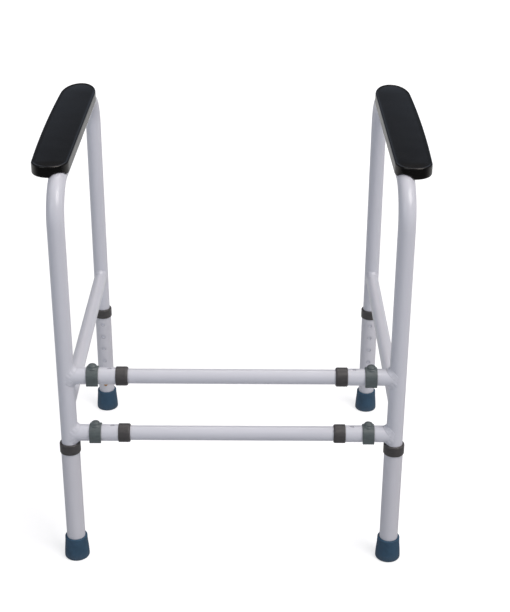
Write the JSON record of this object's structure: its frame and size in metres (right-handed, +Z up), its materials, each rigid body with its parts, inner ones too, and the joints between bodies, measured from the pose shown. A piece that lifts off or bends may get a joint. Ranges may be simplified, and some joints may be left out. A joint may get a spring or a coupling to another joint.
{
  "type": "toilet safety frame",
  "caption": "Free-standing tubular toilet safety frame with padded arms, adjustable legs and telescopic cross tubes that set its width.",
  "frame": {"origin": "on the floor, midway between the four feet", "axes": "+X to the right, +Y from the cross tubes towards the open side, +Z up"},
  "size_m": [0.579, 0.505, 0.64],
  "materials": {
    "frame_paint": "gloss white powder coat",
    "extension_paint": "gloss white powder coat",
    "pad_foam": "satin moulded foam skin",
    "pad_core_plastic": "matt",
    "clip_plastic": "satin",
    "collar_plastic": "satin",
    "foot_rubber": "matt",
    "washer_steel": "zinc plated",
    "screw_steel": "zinc plated",
    "spring_steel": "bright",
    "button_brass": "worn"
  },
  "bodies": {
    "cross_tubes": {"upper_cross_tube": "frame_paint", "lower_cross_tube": "frame_paint"},
    "left_side_frame": {"left_side_hoop": "frame_paint", "left_side_brace": "frame_paint", "left_weld_beads": "frame_paint", "left_arm_pad": "pad_foam", "left_pad_core": "pad_core_plastic", "left_pad_screws": "screw_steel", "upper_left_stub": "frame_paint", "lower_left_stub": "frame_paint", "upper_left_stub_collar": "collar_plastic", "lower_left_stub_collar": "collar_plastic"},
    "right_side_frame": {"right_side_hoop": "frame_paint", "right_side_brace": "frame_paint", "right_weld_beads": "frame_paint", "right_arm_pad": "pad_foam", "right_pad_core": "pad_core_plastic", "right_pad_screws": "screw_steel", "upper_right_stub": "frame_paint", "lower_right_stub": "frame_paint", "upper_right_stub_collar": "collar_plastic", "lower_right_stub_collar": "collar_plastic"},
    "upper_left_clip_body": {"upper_left_clip": "clip_plastic"},
    "lower_left_clip_body": {"lower_left_clip": "clip_plastic"},
    "upper_right_clip_body": {"upper_right_clip": "clip_plastic"},
    "lower_right_clip_body": {"lower_right_clip": "clip_plastic"},
    "front_left_leg": {"front_left_leg_extension": "extension_paint", "front_left_leg_collar": "collar_plastic", "front_left_rubber_foot": "foot_rubber", "front_left_foot_washer": "washer_steel"},
    "rear_left_leg": {"rear_left_leg_extension": "extension_paint", "rear_left_leg_collar": "collar_plastic", "rear_left_rubber_foot": "foot_rubber", "rear_left_foot_washer": "washer_steel"},
    "front_right_leg": {"front_right_leg_extension": "extension_paint", "front_right_leg_collar": "collar_plastic", "front_right_rubber_foot": "foot_rubber", "front_right_foot_washer": "washer_steel"},
    "rear_right_leg": {"rear_right_leg_extension": "extension_paint", "rear_right_leg_collar": "collar_plastic", "rear_right_rubber_foot": "foot_rubber", "rear_right_foot_washer": "washer_steel"},
    "front_left_button": {"front_left_snap_button": "button_brass", "front_left_button_spring": "spring_steel"},
    "rear_left_button": {"rear_left_snap_button": "button_brass", "rear_left_button_spring": "spring_steel"},
    "front_right_button": {"front_right_snap_button": "button_brass", "front_right_button_spring": "spring_steel"},
    "rear_right_button": {"rear_right_snap_button": "button_brass", "rear_right_button_spring": "spring_steel"}
  },
  "joints": [
    {"name": "left_width_slide", "type": "slide", "parent": "cross_tubes", "child": "left_side_frame", "axis": [-1, 0, 0], "range_m": [0, 0.025], "deforming": ["upper_left_clip", "lower_left_clip"]},
    {"name": "right_width_slide", "type": "slide", "parent": "cross_tubes", "child": "right_side_frame", "axis": [1, 0, 0], "range_m": [0, 0.025], "deforming": ["upper_right_clip", "lower_right_clip"]},
    {"name": "upper_left_clip_lift", "type": "slide", "parent": "cross_tubes", "child": "upper_left_clip_body", "axis": [0, 0, 1], "range_m": [0, 0.03]},
    {"name": "lower_left_clip_lift", "type": "slide", "parent": "cross_tubes", "child": "lower_left_clip_body", "axis": [0, 0, 1], "range_m": [0, 0.03]},
    {"name": "upper_right_clip_lift", "type": "slide", "parent": "cross_tubes", "child": "upper_right_clip_body", "axis": [0, 0, 1], "range_m": [0, 0.03]},
    {"name": "lower_right_clip_lift", "type": "slide", "parent": "cross_tubes", "child": "lower_right_clip_body", "axis": [0, 0, 1], "range_m": [0, 0.03]},
    {"name": "front_left_leg_slide", "type": "slide", "parent": "left_side_frame", "child": "front_left_leg", "axis": [0, 0, -1], "range_m": [0, 0.125], "deforming": ["front_left_snap_button", "front_left_button_spring"]},
    {"name": "rear_left_leg_slide", "type": "slide", "parent": "left_side_frame", "child": "rear_left_leg", "axis": [0, 0, -1], "range_m": [0, 0.125], "deforming": ["rear_left_snap_button", "rear_left_button_spring"]},
    {"name": "front_right_leg_slide", "type": "slide", "parent": "right_side_frame", "child": "front_right_leg", "axis": [0, 0, -1], "range_m": [0, 0.125], "deforming": ["front_right_snap_button", "front_right_button_spring"]},
    {"name": "rear_right_leg_slide", "type": "slide", "parent": "right_side_frame", "child": "rear_right_leg", "axis": [0, 0, -1], "range_m": [0, 0.125], "deforming": ["rear_right_snap_button", "rear_right_button_spring"]},
    {"name": "front_left_button_press", "type": "slide", "parent": "left_side_frame", "child": "front_left_button", "axis": [0, -1, 0], "range_m": [0, 0.004]},
    {"name": "rear_left_button_press", "type": "slide", "parent": "left_side_frame", "child": "rear_left_button", "axis": [0, 1, 0], "range_m": [0, 0.004]},
    {"name": "front_right_button_press", "type": "slide", "parent": "right_side_frame", "child": "front_right_button", "axis": [0, -1, 0], "range_m": [0, 0.004]},
    {"name": "rear_right_button_press", "type": "slide", "parent": "right_side_frame", "child": "rear_right_button", "axis": [0, 1, 0], "range_m": [0, 0.004]}
  ]
}
